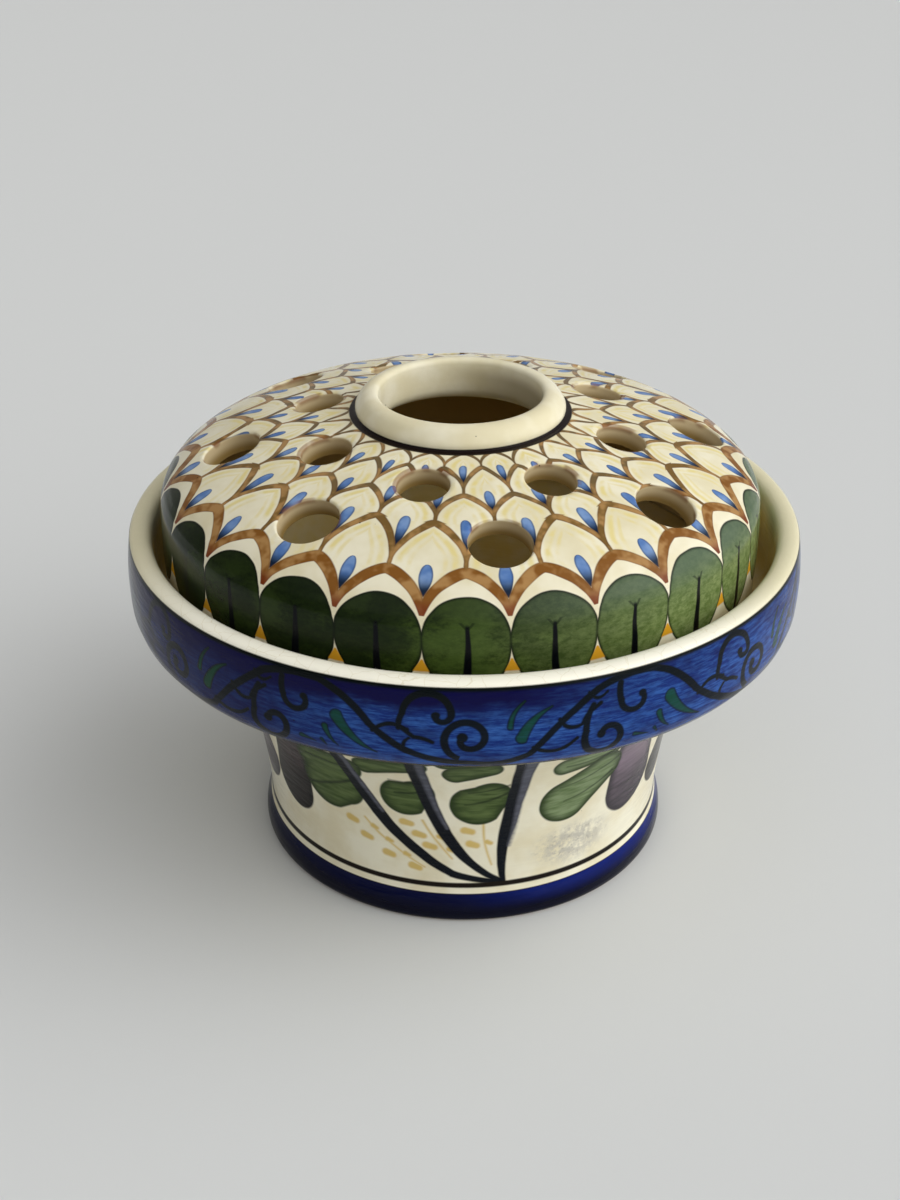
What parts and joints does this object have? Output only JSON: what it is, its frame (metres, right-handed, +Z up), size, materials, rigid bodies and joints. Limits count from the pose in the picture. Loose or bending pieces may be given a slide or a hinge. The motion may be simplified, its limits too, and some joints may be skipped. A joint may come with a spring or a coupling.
{
  "type": "jardiniere",
  "caption": "Glazed earthenware flower bowl: hollow flared foot, upright painted band, and a pierced dome lid with a rolled collar that lifts out.",
  "frame": {"origin": "on the bowl's vertical axis, on the plane that the foot ring rests on", "axes": "+Z up along the bowl's axis; -Y is the side that the picture shows, +X to its right"},
  "size_m": [0.1924, 0.1924, 0.1378],
  "materials": {
    "bowl_glaze": "glossy cobalt band over a cream ground with painted leaves",
    "lid_glaze": "glossy cream ground with painted scales and a green leaf border"
  },
  "bodies": {
    "bowl": {"footed_bowl": "bowl_glaze"},
    "lid": {"pierced_lid": "lid_glaze"}
  },
  "joints": [
    {"name": "lid_lift", "type": "slide", "parent": "bowl", "child": "lid", "axis": [0, 0, 1], "range_m": [0, 0.1]}
  ]
}
